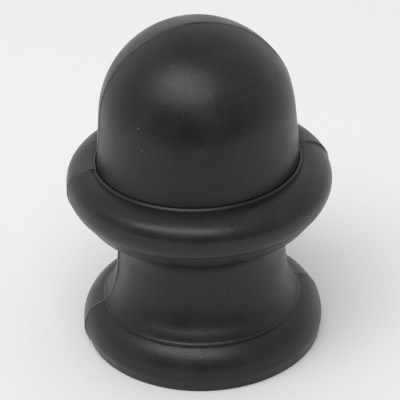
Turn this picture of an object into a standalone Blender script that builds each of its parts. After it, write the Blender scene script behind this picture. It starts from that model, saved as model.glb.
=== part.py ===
# Lamp finial: a domed knob on a round ring, a waist and a beaded foot, cast in one piece.
# It is turned about +Z and stands on its flat seat at z = 0. Lengths are in metres.

from math import cos, hypot, pi, radians, sin, tan

import bpy

MM = 0.001

COLLECTION_NAME = "lamp_finial"
BODY_NAME = "finial"

# Heights of the mouldings, stacked from the seat upwards.
BEAD_UNDER = 1.75 * MM         # seat to the widest line of the foot bead
BEAD_OVER = 2.15 * MM          # widest line to the top of the foot bead
QUIRK_HEIGHT = 0.30 * MM       # small upright step over the bead
WAIST_UNDER = 5.40 * MM        # step to the narrowest line of the waist
WAIST_OVER = 3.66 * MM         # narrowest line to the underside of the collar
COLLAR_HEIGHT = 1.47 * MM      # sloped collar under the ring
RING_UNDER = 1.66 * MM         # engraved line to the widest line of the ring
RING_OVER = 2.13 * MM          # widest line to the crest of the ring
WALL_HEIGHT = 4.39 * MM        # crest of the ring to the centre of the dome

# Radii, from the seat upwards.
SEAT_RADIUS = 10.95 * MM       # flat seat under the foot
BEAD_RADIUS = 11.38 * MM       # widest line of the foot bead
FOOT_RADIUS = 9.38 * MM        # lower edge of the waist
WAIST_RADIUS = 7.89 * MM       # narrowest line of the waist
SOFFIT_RADIUS = 9.20 * MM      # where the waist meets the collar's underside
COLLAR_RADIUS = 10.45 * MM     # lower edge of the collar
RING_RADIUS = 12.12 * MM       # widest line of the ring
RING_TUCK = 0.57 * MM          # how far the ring draws in from there to the engraved line
CREST_REACH = 0.73 * MM        # wall's foot to the crest of the ring
CREST_DIP = 0.13 * MM          # fall of the ring's top from its crest to the wall
COLLAR_BULGE = 0.06 * MM       # rise of the collar's face over a straight slope
DOME_RADIUS = 8.84 * MM        # dome, from its centre to its top and sides

# How far round the curves turn, and the lean of the wall under the dome.
BEAD_TURN = radians(85)
WAIST_TURN = radians(80)
RING_TURN = radians(43)
WALL_DRAFT = radians(5)
QUARTER_TURN = pi / 2

# Fine lines: the engraved line under the ring, and the lip round the wall's foot.
LINE_WIDTH = 0.14 * MM
LINE_DEPTH = 0.08 * MM
LIP_WIDTH = 0.24 * MM
LIP_HEIGHT = 0.07 * MM
GROOVE_DEPTH = 0.07 * MM       # fine groove between the wall and the lip

# Screw hole for a lamp's 1/4-27 stud. It is as wide as the thread at its root.
BORE_RADIUS = 3.20 * MM
BORE_DEPTH = 11.00 * MM        # seat to the end of the full width
BORE_CHAMFER = 0.50 * MM
DRILL_HALF_ANGLE = radians(59)

TURN_STEPS = 64
MERGE_DISTANCE = 0.001 * MM
SHARP_ANGLE = radians(28)

PAINT_COLOUR = (0.020, 0.020, 0.019, 1.0)
PAINT_ROUGHNESS = 0.45

# Levels that follow from the heights.
BEAD_LEVEL = BEAD_UNDER
FOOT_LEVEL = BEAD_LEVEL + BEAD_OVER + QUIRK_HEIGHT
WAIST_LEVEL = FOOT_LEVEL + WAIST_UNDER
COLLAR_LEVEL = WAIST_LEVEL + WAIST_OVER
LINE_LEVEL = COLLAR_LEVEL + COLLAR_HEIGHT
RING_LEVEL = LINE_LEVEL + RING_UNDER
CREST_LEVEL = RING_LEVEL + RING_OVER
DOME_LEVEL = CREST_LEVEL + WALL_HEIGHT


def bend(start, reach, rise, turn, count):
    """Points of an oval curve that sets off upright from start and turns as it goes.

    It ends reach further out and rise further up, after turning by the angle turn.
    """
    width = reach / (1 - cos(turn))
    height = rise / sin(turn)
    angles = [turn * i / count for i in range(count + 1)]
    return [(start[0] + width * (1 - cos(a)), start[1] + height * sin(a)) for a in angles]


def dome_and_wall():
    """The dome from its top down to where the leaning wall leaves it, then the wall's foot."""
    count = 15
    points = []
    for i in range(count + 1):
        angle = QUARTER_TURN + (WALL_DRAFT - QUARTER_TURN) * i / count
        points.append((DOME_RADIUS * cos(angle), DOME_LEVEL + DOME_RADIUS * sin(angle)))
    edge_radius, edge_level = points[-1]
    foot_radius = edge_radius + (edge_level - CREST_LEVEL) * tan(WALL_DRAFT)
    points.append((foot_radius, CREST_LEVEL - CREST_DIP - GROOVE_DEPTH))
    return points


def ring(wall_radius):
    """The fine lip round the wall, then the ring's top, side and underside."""
    crest_radius = wall_radius + CREST_REACH

    def top(radius):
        share = (crest_radius - radius) / CREST_REACH
        return CREST_LEVEL - CREST_DIP * share * share

    lip_crest = wall_radius + LIP_WIDTH / 2
    lip_edge = wall_radius + LIP_WIDTH
    middle = (lip_edge + crest_radius) / 2
    points = [
        (lip_crest, top(lip_crest) + LIP_HEIGHT),
        (lip_edge, top(lip_edge)),
        (middle, top(middle)),
    ]
    widest = (RING_RADIUS, RING_LEVEL)
    side = bend(widest, crest_radius - RING_RADIUS, RING_OVER, QUARTER_TURN, 8)
    under = bend(widest, -RING_TUCK, -RING_UNDER, RING_TURN, 5)
    return points + side[::-1] + under[1:]


def collar():
    """The engraved line and the collar's face, down to its lower edge."""
    head_radius = RING_RADIUS - RING_TUCK
    reach = COLLAR_RADIUS - head_radius
    length = hypot(reach, COLLAR_HEIGHT)
    along = (reach / length, -COLLAR_HEIGHT / length)
    outward = (-along[1], along[0])
    face_length = length - LINE_WIDTH
    stations = [(LINE_WIDTH / 2, -LINE_DEPTH), (LINE_WIDTH, 0)]
    for share in (1 / 3, 2 / 3, 1):
        bulge = COLLAR_BULGE * 4 * share * (1 - share)
        stations.append((LINE_WIDTH + face_length * share, bulge))
    return [
        (
            head_radius + along[0] * distance + outward[0] * rise,
            LINE_LEVEL + along[1] * distance + outward[1] * rise,
        )
        for distance, rise in stations
    ]


def waist():
    """The collar's flat underside and the hollow curve of the waist."""
    narrowest = (WAIST_RADIUS, WAIST_LEVEL)
    over = bend(narrowest, SOFFIT_RADIUS - WAIST_RADIUS, WAIST_OVER, QUARTER_TURN, 7)
    under = bend(narrowest, FOOT_RADIUS - WAIST_RADIUS, -WAIST_UNDER, WAIST_TURN, 8)
    return over[::-1] + under[1:]


def foot_bead():
    """The small step under the waist and the bead, ending at the edge of the seat."""
    widest = (BEAD_RADIUS, BEAD_LEVEL)
    over = bend(widest, FOOT_RADIUS - BEAD_RADIUS, BEAD_OVER, BEAD_TURN, 8)
    under = bend(widest, SEAT_RADIUS - BEAD_RADIUS, -BEAD_UNDER, QUARTER_TURN, 6)
    return over[::-1] + under[1:]


def bore():
    """The seat's inner edge, the chamfered hole and its drilled end."""
    return [
        (BORE_RADIUS + BORE_CHAMFER, 0),
        (BORE_RADIUS, BORE_CHAMFER),
        (BORE_RADIUS, BORE_DEPTH),
        (0, BORE_DEPTH + BORE_RADIUS / tan(DRILL_HALF_ANGLE)),
    ]


def finial_profile():
    """Half outline (radius, z) from the dome's top down the outside and up the screw hole."""
    points = dome_and_wall()
    wall_radius = points[-1][0]
    return points + ring(wall_radius) + collar() + waist() + foot_bead() + bore()


def paint_material():
    """Satin black paint."""
    material = bpy.data.materials.new("satin_black_paint")
    material.use_nodes = True
    shader = material.node_tree.nodes["Principled BSDF"]
    shader.inputs["Base Color"].default_value = PAINT_COLOUR
    shader.inputs["Roughness"].default_value = PAINT_ROUGHNESS
    shader.inputs["Metallic"].default_value = 0.0
    return material


def turned_body(name, profile, material, collection):
    """A solid turned about +Z from a half outline, shaded smooth between its edges."""
    points = [(radius, 0, z) for radius, z in profile]
    edges = [(i, i + 1) for i in range(len(points) - 1)]
    outline = bpy.data.meshes.new(name + "_outline")
    outline.from_pydata(points, edges, [])
    body = bpy.data.objects.new(name, outline)
    collection.objects.link(body)

    lathe = body.modifiers.new("lathe", "SCREW")
    lathe.axis = "Z"
    lathe.angle = 2 * pi
    lathe.steps = TURN_STEPS
    lathe.render_steps = TURN_STEPS
    lathe.use_merge_vertices = True
    lathe.merge_threshold = MERGE_DISTANCE

    depsgraph = bpy.context.evaluated_depsgraph_get()
    solid = bpy.data.meshes.new_from_object(body.evaluated_get(depsgraph))
    body.modifiers.clear()
    body.data = solid
    bpy.data.meshes.remove(outline)
    solid.name = name
    solid.shade_smooth()
    solid.set_sharp_from_angle(angle=SHARP_ANGLE)
    solid.materials.append(material)
    return body


def main():
    for old in list(bpy.data.objects):
        bpy.data.objects.remove(old, do_unlink=True)
    collection = bpy.data.collections.new(COLLECTION_NAME)
    bpy.context.scene.collection.children.link(collection)
    turned_body(BODY_NAME, finial_profile(), paint_material(), collection)


main()
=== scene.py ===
# Lamp finial in satin black paint: dome, rounded ring, hollow waist and beaded foot, cast in one piece.
from math import acos, cos, degrees, exp, hypot, pi, radians, sin, tan

import bmesh
import bpy
from mathutils import Matrix, Vector
from mathutils.bvhtree import BVHTree


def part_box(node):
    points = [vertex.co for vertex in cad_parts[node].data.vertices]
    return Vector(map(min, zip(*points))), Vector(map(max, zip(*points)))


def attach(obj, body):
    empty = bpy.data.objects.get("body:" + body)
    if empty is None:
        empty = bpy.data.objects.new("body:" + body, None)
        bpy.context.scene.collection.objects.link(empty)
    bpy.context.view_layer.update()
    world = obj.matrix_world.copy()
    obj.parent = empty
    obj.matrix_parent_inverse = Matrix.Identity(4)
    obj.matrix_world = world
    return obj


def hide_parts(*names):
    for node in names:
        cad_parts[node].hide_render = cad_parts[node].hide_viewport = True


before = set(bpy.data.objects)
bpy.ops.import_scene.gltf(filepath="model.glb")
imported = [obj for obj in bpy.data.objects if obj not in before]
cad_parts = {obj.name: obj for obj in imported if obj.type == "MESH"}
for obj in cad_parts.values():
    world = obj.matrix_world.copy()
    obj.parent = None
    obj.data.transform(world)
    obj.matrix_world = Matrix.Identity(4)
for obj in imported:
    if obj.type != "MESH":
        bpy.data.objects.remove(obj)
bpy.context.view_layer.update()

mm = 0.001
weld = 1e-7                  # m, within which two points are one
sharpTurn = 40               # degrees, over which an edge shows as sharp
lowCorner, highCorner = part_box("finial")
print("frame loaded, finial", [round(side / mm, 2) for side in highCorner - lowCorner], "mm")


# camera, at the photo's viewing angle

camera = {
    "pitch": 30.921,         # degrees that it looks down
    "distance": 165.0,       # mm to the point that it aims at
    "aimHeight": 13.827,     # mm over the seat
    "roll": 1.675,           # degrees that the picture leans to the left
    "focus": 1782.1,         # focal length in pixels of the photo
    "photoSide": 400,        # pixels
    "sensor": 36.0,          # mm
    "clip": (0.01, 20),      # m
}


def cameraPlace():
    pitch = radians(camera["pitch"])
    roll = radians(camera["roll"])
    back = Vector((0, -cos(pitch), sin(pitch)))
    right = Vector((1, 0, 0))
    up = Vector((0, sin(pitch), cos(pitch)))
    leaningRight = right * cos(roll) - up * sin(roll)
    leaningUp = right * sin(roll) + up * cos(roll)
    place = Matrix((leaningRight, leaningUp, back)).transposed().to_4x4()
    place.translation = Vector((0, 0, camera["aimHeight"] * mm)) + back * camera["distance"] * mm
    return place


def makeCamera():
    view = bpy.data.cameras.new("camera")
    view.sensor_fit = "HORIZONTAL"
    view.sensor_width = camera["sensor"]
    view.lens = camera["focus"] / camera["photoSide"] * camera["sensor"]
    view.clip_start, view.clip_end = camera["clip"]
    holder = bpy.data.objects.new("camera", view)
    holder.matrix_world = cameraPlace()
    bpy.context.scene.collection.objects.link(holder)
    bpy.context.scene.camera = holder


def pixelRay(across, down):
    # where the camera is, and the way that it sees a pixel of the photo
    place = cameraPlace()
    half = camera["photoSide"] / 2
    ray = Vector((across - half, half - down, -camera["focus"]))
    return place.translation, (place.to_3x3() @ ray).normalized()


makeCamera()
print("camera set")


# body, turned from a half outline; lengths in mm, turns in degrees of the outward direction over the level

body = {
    "footLevel": 4.15, "waistLevel": 9.50,                   # foot arris and narrowest line, over the seat
    "waistOver": 3.76, "collar": 1.47,                       # heights up from there
    "ringUnder": 1.66, "ringOver": 2.13,
    "seatRadius": 11.08, "beadRadius": 11.34, "waistRadius": 7.80,
    "soffitRadius": 9.50, "collarRadius": 10.35,
    "ringFull": 0.05,                                        # how far the ring stands out over the solid's
    "domeRadius": 8.84, "wallDraft": 5,
    "underRound": 0.9, "underTurn": 9,                       # bead's round under its widest line, then taper
    "beadTurns": (85, 55, 36), "beadRounds": (1.90, 2.10),   # bead's shoulder
    "quirk": 0.04, "footEdge": 0.18, "footLedge": 0.06,      # small step, eased arris and ledge over the bead
    "flareReach": 1.05, "flareDrop": 4.96,                   # waist's flare, then its round to the ledge
    "flareTurn": 37, "footTurn": 60,
    "ringTurns": (0, 35, 55), "ringRounds": (2.15, 2.15),    # ring's side and shoulder
    "ringTuck": 0.57, "tuckTurn": 43,                        # ring's underside, drawn in to the engraved line
    "lineWidth": 0.14, "lineDepth": 0.08,                    # engraved line
    "lipWidth": 0.32, "lipHeight": 0.10, "lipCrest": 0.45,   # lip round the wall, crest as a share of it
    "grooveDepth": 0.05,                                     # between the wall and the lip
    "boreRadius": 3.20, "boreDepth": 11.0, "boreChamfer": 0.50, "drillHalfAngle": 59,
    "paintRound": 0.08, "fineRound": 0.03,                   # paint's rounding of arrises and fine lines
    "turnSteps": 192,
}

# sizes that differ on the viewer's side: less of a bead and ring, a fuller collar, a higher lip
front = {
    "footLevel": 4.17, "quirk": 0.10, "footEdge": 0.15, "beadRadius": 11.20, "seatRadius": 10.95,
    "beadTurns": (75, 55, 36), "beadRounds": (0.73, 3.29),
    "flareReach": 1.10, "flareDrop": 4.40, "flareTurn": 39, "footTurn": 22,
    "waistOver": 4.05, "collar": 1.20, "ringUnder": 1.64, "ringTuck": 0.52,
    "soffitRadius": 10.80, "collarRadius": 10.90,
    "ringOver": 2.05, "ringTurns": (0, 35, 57), "ringRounds": (1.67, 1.85),
    "lipHeight": 0.17, "grooveDepth": 0.09,
}
frontFade = (88, 25)         # degrees round from the front, from no effect to the full one

# the engraved line fades out to the left
plain = {"lineDepth": 0.0}
plainFade = (75, 105)        # degrees round from the right

# where the two halves of the mould met
mould = {
    "turn": 11.3,            # degrees from the picture plane, left end nearer the viewer
    "lift": 0.09,            # mm that the surface rises towards the parting line
    "reach": 1.2,            # mm over which that fades away
    "window": 0.4,           # mm of outline, to each side, over which its outward direction is read
    "seatFade": 0.8,         # mm over the seat, within which the rise fades out
    "flash": 0.04,           # mm, trimmed flash left on the line
    "onLine": 0.001,         # mm, within which a point is on the line
    "cuts": (0.05, 0.15, 0.35, 0.7, 1.2, 2.0),       # mm to each side, rows of points
    "ramp": 0.35,            # mm beside the line over which the slip grows
    "step": (-0.02, 0.1),    # mm beside the line over which the far half rises
    "crown": 18, "crownShare": 1.5,                  # mm over the seat, above which only level faces slip
    # by height over the seat in mm: share of the flash line left without the painted highlight, then shifts
    # in mm
    "unhighlighted": ((0.0, 0.0), (4.5, 0.0), (6.5, 1.0), (14.5, 1.0), (16.0, 0.2), (18.0, 0.6), (20.0, 0.2),
                (40.0, 0.2)),
    "sway": ((0.0, -0.08), (4.2, -0.08), (9.6, 0.0), (40.0, 0.0)),       # both halves, to the right
    "slip": ((0.0, 0.14), (2.0, 0.06), (3.6, 0.0), (5.5, 0.0), (7.5, 0.08), (11.5, 0.08), (13.2, 0.0),
             (16.6, 0.0), (17.6, -0.12), (18.2, -0.24), (19.4, 0.0)),    # near half, to the right
    "proud": ((16.4, 0.0), (17.4, 0.06), (18.6, 0.06), (19.4, 0.05),
              (40.0, 0.05)),                                             # far half over the near one
}


def bend(start, reach, rise, turn, count):
    # points of an oval curve that sets off upright from start and turns as it goes
    width = reach / (1 - cos(turn))
    height = rise / sin(turn)
    angles = [turn * i / count for i in range(count + 1)]
    return [(start[0] + width * (1 - cos(a)), start[1] + height * sin(a)) for a in angles]


def arc(start, radius, fromAngle, toAngle, count):
    # points of a round that starts at start, from one slope of its normal to another
    first = radians(fromAngle)
    angles = [first + (radians(toAngle) - first) * i / count for i in range(count + 1)]
    return [(start[0] + radius * (cos(a) - cos(first)), start[1] + radius * (sin(a) - sin(first)))
            for a in angles]


def rounded(points, rounding=0):
    return [(radius, height, rounding) for radius, height in points]


def stackLevels(s):
    # heights over the seat, up the mouldings
    collar = s["waistLevel"] + s["waistOver"]
    line = collar + s["collar"]
    ring = line + s["ringUnder"]
    return {"collar": collar, "line": line, "ring": ring, "crest": ring + s["ringOver"]}


def domeOutline(s, level):
    # dome from its top down, and the leaning wall
    dome = arc((0, highCorner.z / mm), s["domeRadius"], 90, s["wallDraft"], 44)
    edgeRadius, edgeLevel = dome[-1]
    wallRadius = edgeRadius + (edgeLevel - level["crest"]) * tan(radians(s["wallDraft"]))
    wall = []
    for i in range(1, 6):
        share = i / 6
        wall.append((edgeRadius + (wallRadius - edgeRadius) * share,
                     edgeLevel + (level["crest"] - edgeLevel) * share))
    return rounded(dome + wall), wallRadius


def ringOutline(s, level, ringRadius, wallRadius):
    # fine lip round the wall's foot, then the ring's crown, side and underside
    # its crown and side are worked out upwards from its widest line
    lipEdge = wallRadius + s["lipWidth"]
    low, middle, high = s["ringTurns"]
    over = arc((ringRadius, level["ring"]), s["ringRounds"][0], low, middle, 12)
    over += arc(over[-1], s["ringRounds"][1], middle, high, 8)[1:]
    crownRound = (level["crest"] - over[-1][1]) / (1 - sin(radians(high)))
    crownEnd = degrees(acos(cos(radians(high)) + (lipEdge - over[-1][0]) / crownRound))
    over += arc(over[-1], crownRound, high, crownEnd, 14)[1:]
    lipLevel = over[-1][1]
    groove = (wallRadius, lipLevel - s["grooveDepth"])
    lipTop = (wallRadius + s["lipWidth"] * s["lipCrest"], lipLevel + s["lipHeight"])
    under = bend((ringRadius, level["ring"]), -s["ringTuck"], -s["ringUnder"], radians(s["tuckTurn"]), 14)
    return rounded([groove, lipTop, over[-1]], s["fineRound"]) + rounded(over[-2::-1] + under[1:-1])


def collarOutline(s, level, ringRadius):
    # engraved line, then the collar's sloped face
    headRadius = ringRadius - s["ringTuck"]
    slope = (s["collarRadius"] - headRadius, -s["collar"])
    length = hypot(*slope)
    along = (slope[0] / length, slope[1] / length)

    def onCollar(distance, rise):
        return (
            headRadius + along[0] * distance - along[1] * rise,
            level["line"] + along[1] * distance + along[0] * rise,
        )

    line = [onCollar(0, 0), onCollar(s["lineWidth"] / 2, -s["lineDepth"]), onCollar(s["lineWidth"], 0)]
    face = [onCollar(s["lineWidth"] + (length - s["lineWidth"]) * i / 5, 0) for i in range(1, 5)]
    edge = [(s["collarRadius"], level["collar"])]
    return rounded(line, s["fineRound"]) + rounded(face) + rounded(edge, s["paintRound"])


def waistOutline(s):
    # soffit, waist, and its flare down to the ledge over the foot
    narrowest = (s["waistRadius"], s["waistLevel"])
    soffit = bend(narrowest, s["soffitRadius"] - s["waistRadius"], s["waistOver"], pi / 2, 20)[::-1]
    share = s["flareReach"] / (s["flareDrop"] * tan(radians(s["flareTurn"])))
    flare = bend(narrowest, s["flareReach"], -s["flareDrop"], acos(share / (1 - share)), 20)
    ledgeLevel = s["footLevel"] + s["footEdge"]
    footRound = (flare[-1][1] - ledgeLevel) / (sin(radians(s["flareTurn"])) - sin(radians(s["footTurn"])))
    foot = arc(flare[-1], footRound, s["flareTurn"], s["footTurn"], 8)
    return rounded(soffit[:1], s["fineRound"]) + rounded(soffit[1:] + flare[1:] + foot[1:-1]), foot[-1]


def footOutline(s, ledgeStart):
    # eased arris over a small upright step, then the bead down to the edge of the seat
    ledgeEnd = ledgeStart[0] + s["footLedge"]
    footRadius = ledgeEnd + s["footEdge"]
    arris = [ledgeStart, (ledgeEnd, s["footLevel"] + s["footEdge"]), (footRadius, s["footLevel"])]
    high, middle, low = s["beadTurns"]
    bead = arc((footRadius, s["footLevel"] - s["quirk"]), s["beadRounds"][0], high, middle, 6)
    bead += arc(bead[-1], s["beadRounds"][1], middle, low, 8)[1:]
    flank = (s["beadRadius"] - bead[-1][0]) / (1 - cos(radians(low)))
    bead += arc(bead[-1], flank, low, 0, 10)[1:]
    bead += arc(bead[-1], s["underRound"], 0, -s["underTurn"], 6)[1:]
    taperRadius, taperLevel = bead[-1]
    for i in range(1, 5):
        bead.append((taperRadius + (s["seatRadius"] - taperRadius) * i / 4, taperLevel * (1 - i / 4)))
    return (rounded(arris + bead[:1], s["fineRound"]) + rounded(bead[1:-1])
            + rounded(bead[-1:], s["paintRound"]))


def boreOutline(s):
    # inner edge of the seat, chamfered hole and its drilled end
    mouth = [(s["boreRadius"] + s["boreChamfer"], 0), (s["boreRadius"], s["boreChamfer"])]
    drillEnd = s["boreDepth"] + s["boreRadius"] / tan(radians(s["drillHalfAngle"]))
    return rounded(mouth, s["fineRound"]) + rounded([(s["boreRadius"], s["boreDepth"]), (0, drillEnd)])


def halfOutline(s):
    # (radius, height, rounding of that corner) in mm, from the dome's top down the outside and up the hole
    level = stackLevels(s)
    ringRadius = highCorner.x / mm + s["ringFull"]
    dome, wallRadius = domeOutline(s, level)
    waist, ledgeStart = waistOutline(s)
    return (dome + ringOutline(s, level, ringRadius, wallRadius) + collarOutline(s, level, ringRadius)
            + waist + footOutline(s, ledgeStart) + boreOutline(s))


def outlineWire(sizes):
    # the half outline as a chain of points with rounded corners, in order from the dome's top
    bm = bmesh.new()
    for name in ("lean", "front", "plain"):
        bm.verts.layers.float_vector.new(name)
    bm.verts.layers.float.new("ridge")
    corners = {}
    chain = []
    for radius, height, rounding in halfOutline(sizes):
        vert = bm.verts.new((radius * mm, 0, height * mm))
        chain.append(vert)
        if rounding:
            corners.setdefault(rounding, []).append(vert)
    for first, second in zip(chain, chain[1:]):
        bm.edges.new((first, second))
    for rounding, verts in corners.items():
        bmesh.ops.bevel(bm, geom=verts, offset=rounding * mm, offset_type="OFFSET", segments=3,
                        affect="VERTICES", profile=0.5, material=-1, clamp_overlap=True)
    ends = [v for v in bm.verts if len(v.link_edges) == 1]
    order = [max(ends, key=lambda v: v.co.z)]
    edge = None
    while True:
        onward = [e for e in order[-1].link_edges if e is not edge]
        if not onward:
            break
        edge = onward[0]
        order.append(edge.other_vert(order[-1]))
    return bm, order


def outwardLean(points, index, window):
    # outward direction of the outline, read over a short stretch so that fine lines don't sway it
    ahead = behind = index
    while ahead < len(points) - 1 and hypot(points[ahead][0] - points[index][0],
                                            points[ahead][1] - points[index][1]) < window:
        ahead += 1
    while behind > 0 and hypot(points[behind][0] - points[index][0],
                               points[behind][1] - points[index][1]) < window:
        behind -= 1
    across = points[ahead][0] - points[behind][0]
    rise = points[ahead][1] - points[behind][1]
    length = hypot(across, rise) or 1
    return -rise / length, across / length


def markLean(bm, order):
    # keeps the outward direction of each outline point above the seat, for the rise at the parting line
    lean = bm.verts.layers.float_vector["lean"]
    points = [(v.co.x / mm, v.co.z / mm) for v in order]
    seatStart = next(i for i, p in enumerate(points) if p[1] < weld / mm)
    for i, vert in enumerate(order[:seatStart]):
        away, up = outwardLean(points, i, mould["window"])
        share = min(1, points[i][1] / mould["seatFade"])
        vert[lean] = (away * share, 0, up * share)


def valueAt(stops, height):
    # value at a height, on straight lines between the stops
    for (low, first), (high, second) in zip(stops, stops[1:]):
        if low <= height <= high:
            return first + (second - first) * (height - low) / (high - low)
    return 0


def fade(value, span):
    # 0 to 1, smoothly, as the value goes from the first to the second of span
    share = min(1, max(0, (value - span[0]) / (span[1] - span[0])))
    return share * share * (3 - 2 * share)


def shapeCast(bm, along, behind):
    # viewer's side, faded line, rise and flash at the parting line, the mark for the painted highlight along
    # the flash, and the mismatch of the halves
    ridge = bm.verts.layers.float["ridge"]
    lean, towardsFront, towardsPlain = (bm.verts.layers.float_vector[n] for n in ("lean", "front", "plain"))
    for vert in bm.verts:
        flat = Vector((vert.co.x, vert.co.y, 0))
        if flat.length < weld:
            continue
        flat.normalize()
        height = vert.co.z / mm
        distance = vert.co.dot(behind) / mm
        away, _, up = vert[lean]
        rise = mould["lift"] * exp(-abs(distance) / mould["reach"])
        if abs(distance) < mould["onLine"]:
            rise += mould["flash"]
            # marks the flash line for the painted highlight, a lighter colour, weaker where the table says
            vert[ridge] = 1 - valueAt(mould["unhighlighted"], height)
        rise += valueAt(mould["proud"], height) * fade(distance, mould["step"])
        shift = Vector((away, 0, up)) * rise * mm
        shift += vert[towardsFront] * fade(degrees(acos(-flat.y)), frontFade)
        shift += vert[towardsPlain] * fade(degrees(acos(flat.x)), plainFade)
        aside = 0
        if away or up:
            slip = valueAt(mould["slip"], height) * fade(-distance, (0.0, mould["ramp"]))
            if height > mould["crown"]:
                slip *= min(1, max(0, up * mould["crownShare"]))
            aside = slip + valueAt(mould["sway"], height)
        vert.co += flat * shift.x + Vector((0, 0, shift.z)) + along * aside * mm


def turnBody():
    bm, order = outlineWire(body)
    for name, changes in (("front", front), ("plain", plain)):
        layer = bm.verts.layers.float_vector[name]
        goal, goalOrder = outlineWire({**body, **changes})
        for vert, target in zip(order, goalOrder):
            vert[layer] = target.co - vert.co
        goal.free()
    markLean(bm, order)

    # turned about the axis, with a column of points on each end of the parting line
    partingTurn = Matrix.Rotation(radians(mould["turn"]), 3, "Z")
    bmesh.ops.rotate(bm, verts=bm.verts, cent=(0, 0, 0), matrix=partingTurn)
    bmesh.ops.spin(bm, geom=bm.verts[:] + bm.edges[:], cent=(0, 0, 0), axis=(0, 0, 1),
                   dvec=(0, 0, 0), angle=2 * pi, steps=body["turnSteps"], use_merge=True)
    bmesh.ops.remove_doubles(bm, verts=bm.verts, dist=weld)
    bmesh.ops.recalc_face_normals(bm, faces=bm.faces)

    # rows of points beside the parting line
    behind = partingTurn @ Vector((0, 1, 0))
    offsets = [side * cut for cut in mould["cuts"] for side in (-1, 1)]
    for offset in offsets:
        bmesh.ops.bisect_plane(bm, geom=bm.verts[:] + bm.edges[:] + bm.faces[:], dist=weld,
                               plane_co=behind * offset * mm, plane_no=behind)
    shapeCast(bm, partingTurn @ Vector((1, 0, 0)), behind)
    return bm


# right-handed thread in the screw hole, and nibs of dust caught in the paint
thread = {
    "pitch": 25.4 / 27,      # mm, 27 turns to the inch
    "crestRadius": 2.70, "crestWidth": 0.12, "rootWidth": 0.80,
    "startLevel": 0.75, "turns": 10, "steps": 40,
    "sink": 0.03,            # mm that the ridge reaches into the wall of the hole
}
nibs = {
    "size": 0.055,           # mm, radius of the largest
    "places": ((138.4, 128.8), (141.6, 151.2), (202.0, 150.5), (298.4, 189.5), (224.5, 289.0),
               (201.0, 357.0)),                      # pixels of the photo, across and down
    "sizes": (1.0, 0.9, 0.6, 0.8, 0.8, 0.9),         # shares of the largest
    "dull": "#7d7b70", "pale": "#9b998c",
    "fluff": 0.05,           # mm across the fibres
    "rough": 0.8,
}


def cutThread(bm):
    # a ridge wound up the wall of the hole
    outer = body["boreRadius"] + thread["sink"]
    section = [(outer, -thread["rootWidth"] / 2), (thread["crestRadius"], -thread["crestWidth"] / 2),
               (thread["crestRadius"], thread["crestWidth"] / 2), (outer, thread["rootWidth"] / 2)]
    ridge = bmesh.new()
    start = ridge.faces.new([ridge.verts.new((radius * mm, 0, (thread["startLevel"] + rise) * mm))
                             for radius, rise in section])
    bmesh.ops.spin(ridge, geom=[start], cent=(0, 0, 0), axis=(0, 0, 1), angle=2 * pi * thread["turns"],
                   steps=thread["turns"] * thread["steps"],
                   dvec=(0, 0, thread["pitch"] * mm / thread["steps"]))
    bmesh.ops.recalc_face_normals(ridge, faces=ridge.faces)
    addMesh(bm, ridge)


def addNibs(bm):
    surface = BVHTree.FromBMesh(bm)
    for (across, down), size in zip(nibs["places"], nibs["sizes"]):
        point = surface.ray_cast(*pixelRay(across, down))[0]
        nib = bmesh.new()
        bmesh.ops.create_icosphere(nib, subdivisions=2, radius=nibs["size"] * size * mm)
        for face in nib.faces:
            face.material_index = 1
        bmesh.ops.translate(nib, verts=nib.verts, vec=point)
        addMesh(bm, nib)


def addMesh(bm, part):
    # adds the part's mesh to bm and frees the part
    mesh = bpy.data.meshes.new("part")
    part.to_mesh(mesh)
    part.free()
    bm.from_mesh(mesh)
    bpy.data.meshes.remove(mesh)


def makeObject(name, bm, *materials):
    mesh = bpy.data.meshes.new(name)
    bm.to_mesh(mesh)
    bm.free()
    for material in materials:
        mesh.materials.append(material)
    mesh.shade_smooth()
    mesh.set_sharp_from_angle(angle=radians(sharpTurn))
    piece = bpy.data.objects.new(name, mesh)
    bpy.context.scene.collection.objects.link(piece)
    return piece


# materials

def linear(hexColour):
    # sRGB hex to linear
    values = [int(hexColour[i:i + 2], 16) / 255 for i in (1, 3, 5)]
    return [v / 12.92 if v <= 0.04045 else ((v + 0.055) / 1.055) ** 2.4 for v in values] + [1.0]


def addNode(tree, kind, settings=None, links=None):
    # adds a node, sets its properties and sockets, and links sockets from (node, output) pairs
    node = tree.nodes.new(kind)
    for name, value in (settings or {}).items():
        if name in node.inputs:
            node.inputs[name].default_value = value
        else:
            setattr(node, name, value)
    for name, (source, output) in (links or {}).items():
        tree.links.new(source.outputs[output], node.inputs[name])
    return node


def startMaterial(name):
    material = bpy.data.materials.new(name)
    material.use_nodes = True
    tree = material.node_tree
    return material, tree, tree.nodes["Principled BSDF"]


paint = {
    "deep": "#0c0c0b", "thin": "#212120",     # full coat and thinner coat
    "ridgeHighlight": "#6b6a68",       # painted highlight: a lighter colour along the trimmed flash ridge
    "ior": 1.45,
    "roughLow": 0.27, "roughHigh": 0.38,
    "patch": 2.6,            # mm across the patches of thicker and thinner coat
    "noiseLow": 0.35, "noiseHigh": 0.65,      # values of the noise that give the one end and the other
    "peel": 0.9,             # mm across the orange peel
    "peelDepth": 0.008,
    "grit": 0.13,            # mm across the fine grain
    "gritDepth": 0.017,
    "speckle": 0.7,          # share of the grain in the colour, the rest is patches
}


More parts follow.
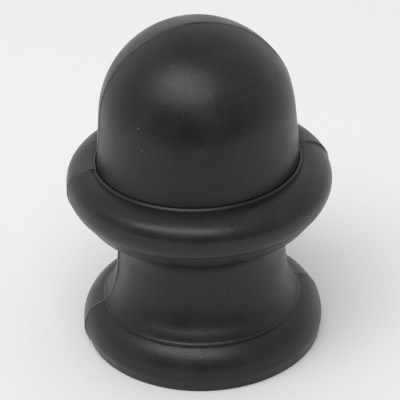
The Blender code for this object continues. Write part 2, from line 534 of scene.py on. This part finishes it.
def satinBlackPaint():
    # sprayed satin enamel on a zinc casting: near black, soft broad highlights, bright only at grazing
    # angles, with a painted highlight, a lighter colour, along the flash on the parting line
    material, tree, shader = startMaterial("satin_black_enamel")
    place = addNode(tree, "ShaderNodeTexCoord")
    patches = addNode(tree, "ShaderNodeTexNoise", {"Scale": 1 / (paint["patch"] * mm), "Detail": 3.0},
                      {"Vector": (place, "Object")})
    grit = addNode(tree, "ShaderNodeTexNoise", {"Scale": 1 / (paint["grit"] * mm), "Detail": 2.0},
                   {"Vector": (place, "Object")})
    peel = addNode(tree, "ShaderNodeTexNoise", {"Scale": 1 / (paint["peel"] * mm), "Detail": 1.0},
                   {"Vector": (place, "Object")})
    coat = addNode(tree, "ShaderNodeMix", {"Factor": paint["speckle"]})
    tree.links.new(patches.outputs["Fac"], coat.inputs[2])
    tree.links.new(grit.outputs["Fac"], coat.inputs[3])
    spread = {"From Min": paint["noiseLow"], "From Max": paint["noiseHigh"]}
    thickness = addNode(tree, "ShaderNodeMapRange", spread, {"Value": (coat, "Result")})
    colour = addNode(tree, "ShaderNodeMix", {"data_type": "RGBA"}, {"Factor": (thickness, "Result")})
    colour.inputs[6].default_value = linear(paint["deep"])
    colour.inputs[7].default_value = linear(paint["thin"])
    # painted highlight: the colour turns lighter along the flash ridge on the parting line
    ridge = addNode(tree, "ShaderNodeAttribute", {"attribute_name": "ridge"})
    ridgeHighlightMix = addNode(tree, "ShaderNodeMix", {"data_type": "RGBA"}, {"Factor": (ridge, "Fac")})
    tree.links.new(colour.outputs[2], ridgeHighlightMix.inputs[6])
    ridgeHighlightMix.inputs[7].default_value = linear(paint["ridgeHighlight"])
    rough = addNode(tree, "ShaderNodeMapRange",
                    {**spread, "To Min": paint["roughLow"], "To Max": paint["roughHigh"]},
                    {"Value": (patches, "Fac")})
    peelBump = addNode(tree, "ShaderNodeBump", {"Distance": paint["peelDepth"] * mm, "Strength": 1.0},
                       {"Height": (peel, "Fac")})
    gritBump = addNode(tree, "ShaderNodeBump", {"Distance": paint["gritDepth"] * mm, "Strength": 1.0},
                       {"Height": (grit, "Fac"), "Normal": (peelBump, "Normal")})
    tree.links.new(ridgeHighlightMix.outputs[2], shader.inputs["Base Color"])
    tree.links.new(rough.outputs["Result"], shader.inputs["Roughness"])
    tree.links.new(gritBump.outputs["Normal"], shader.inputs["Normal"])
    shader.inputs["IOR"].default_value = paint["ior"]
    shader.inputs["Metallic"].default_value = 0.0
    return material


def paleDust():
    # specks of lint and dust under the last coat, a dull grey
    material, tree, shader = startMaterial("pale_dust")
    place = addNode(tree, "ShaderNodeTexCoord")
    fluff = addNode(tree, "ShaderNodeTexNoise", {"Scale": 1 / (nibs["fluff"] * mm)},
                    {"Vector": (place, "Object")})
    colour = addNode(tree, "ShaderNodeMix", {"data_type": "RGBA"}, {"Factor": (fluff, "Fac")})
    colour.inputs[6].default_value = linear(nibs["dull"])
    colour.inputs[7].default_value = linear(nibs["pale"])
    tree.links.new(colour.outputs[2], shader.inputs["Base Color"])
    shader.inputs["Roughness"].default_value = nibs["rough"]
    return material


shape = turnBody()
cutThread(shape)
addNibs(shape)
finial = makeObject("satin_black_finial", shape, satinBlackPaint(), paleDust())
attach(finial, "root")
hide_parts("finial")
finial.data.calc_loop_triangles()
print("body turned,", len(finial.data.loop_triangles), "triangles")


# floor and light

studio = {
    "floorSide": 3.0,        # m
    "floorColour": "#f3f3f2", "fibreColour": "#f1f1f0", "shadeColour": "#868685",
    "fibre": 1.1,            # mm across the unevenness of the board
    "shadeStart": -0.06, "shadeEnd": -0.14,          # m along Y, below the picture, where its colour goes into painted shade
    "boardRough": 0.9,
    "aimHeight": 0.02,       # m, where the lights point
    "keyDistance": 0.45, "keyRise": 58.5, "keyTurn": -21.3,      # m, degrees up, degrees right of the camera
    "keySides": (0.52, 0.28), "keyRadiance": 2.8,
    "fillRise": 50, "fillTurn": -68, "fillSides": (0.30, 0.34), "fillRadiance": 0.45,
    "skyColour": "#ffffff", "skyStrength": 0.63,
    # ends of the room: strength, then from where to where it comes in, seen along Y and up Z
    "unlitEnd": (0.20, (-0.45, -0.9), (0.55, 0.15)),             # behind the camera
    "whiteWall": (0.85, (-0.1, 0.6), (0.9, 0.4)),                # behind the piece
}


def paleBoard():
    # matt white paper board, very slightly uneven, with painted shade darkening its colour on the camera's
    # side
    material, tree, shader = startMaterial("matt_white_board")
    place = addNode(tree, "ShaderNodeTexCoord")
    fibres = addNode(tree, "ShaderNodeTexNoise", {"Scale": 1 / (studio["fibre"] * mm), "Detail": 2.0},
                     {"Vector": (place, "Object")})
    board = addNode(tree, "ShaderNodeMix", {"data_type": "RGBA"}, {"Factor": (fibres, "Fac")})
    board.inputs[6].default_value = linear(studio["floorColour"])
    board.inputs[7].default_value = linear(studio["fibreColour"])
    parts = addNode(tree, "ShaderNodeSeparateXYZ", links={"Vector": (place, "Object")})
    # painted shade: the board's colour darkens towards the camera along Y
    shade = addNode(tree, "ShaderNodeMapRange", {"interpolation_type": "SMOOTHSTEP",
                    "From Min": studio["shadeStart"], "From Max": studio["shadeEnd"]},
                    {"Value": (parts, "Y")})
    colour = addNode(tree, "ShaderNodeMix", {"data_type": "RGBA"}, {"Factor": (shade, "Result")})
    tree.links.new(board.outputs[2], colour.inputs[6])
    colour.inputs[7].default_value = linear(studio["shadeColour"])
    tree.links.new(colour.outputs[2], shader.inputs["Base Color"])
    shader.inputs["Roughness"].default_value = studio["boardRough"]
    return material


def makeFloor():
    bm = bmesh.new()
    bmesh.ops.create_grid(bm, x_segments=4, y_segments=4, size=studio["floorSide"] / 2)
    return makeObject("floor", bm, paleBoard())


def makeSoftLight(name):
    # large oval softbox on the camera's left
    light = bpy.data.lights.new(name, "AREA")
    light.shape = "ELLIPSE"
    light.size, light.size_y = studio[name + "Sides"]
    light.energy = studio[name + "Radiance"] * pi * light.size * light.size_y * pi / 4
    rise = radians(studio[name + "Rise"])
    turn = radians(studio[name + "Turn"])
    away = Vector((sin(turn) * cos(rise), -cos(turn) * cos(rise), sin(rise)))
    holder = bpy.data.objects.new(name, light)
    holder.location = Vector((0, 0, studio["aimHeight"])) + away * studio["keyDistance"]
    holder.rotation_euler = (-away).to_track_quat("-Z", "Y").to_euler()
    holder.visible_camera = False
    bpy.context.scene.collection.objects.link(holder)


def makeSky():
    # evenly lit white room, darker at eye level behind the camera and lighter behind the piece
    world = bpy.data.worlds.new("studio")
    world.use_nodes = True
    tree = world.node_tree
    background = tree.nodes["Background"]
    background.inputs["Color"].default_value = linear(studio["skyColour"])
    place = addNode(tree, "ShaderNodeTexCoord")
    parts = addNode(tree, "ShaderNodeSeparateXYZ", links={"Vector": (place, "Generated")})
    strength = None
    for goal, along, up in (studio["unlitEnd"], studio["whiteWall"]):
        shares = []
        for axis, (start, full) in (("Y", along), ("Z", up)):
            shares.append(addNode(tree, "ShaderNodeMapRange", {"interpolation_type": "SMOOTHSTEP",
                          "From Min": start, "From Max": full}, {"Value": (parts, axis)}))
        share = addNode(tree, "ShaderNodeMath", {"operation": "MULTIPLY"})
        for i in range(2):
            tree.links.new(shares[i].outputs["Result"], share.inputs[i])
        mixed = addNode(tree, "ShaderNodeMapRange", {"To Min": studio["skyStrength"], "To Max": goal},
                        {"Value": (share, "Value")})
        if strength:
            tree.links.new(strength.outputs["Result"], mixed.inputs["To Min"])
        strength = mixed
    tree.links.new(strength.outputs["Result"], background.inputs["Strength"])
    bpy.context.scene.world = world


makeFloor()
makeSoftLight("key")
makeSoftLight("fill")
makeSky()
bpy.context.scene.view_settings.view_transform = "Standard"
print("floor and light set")
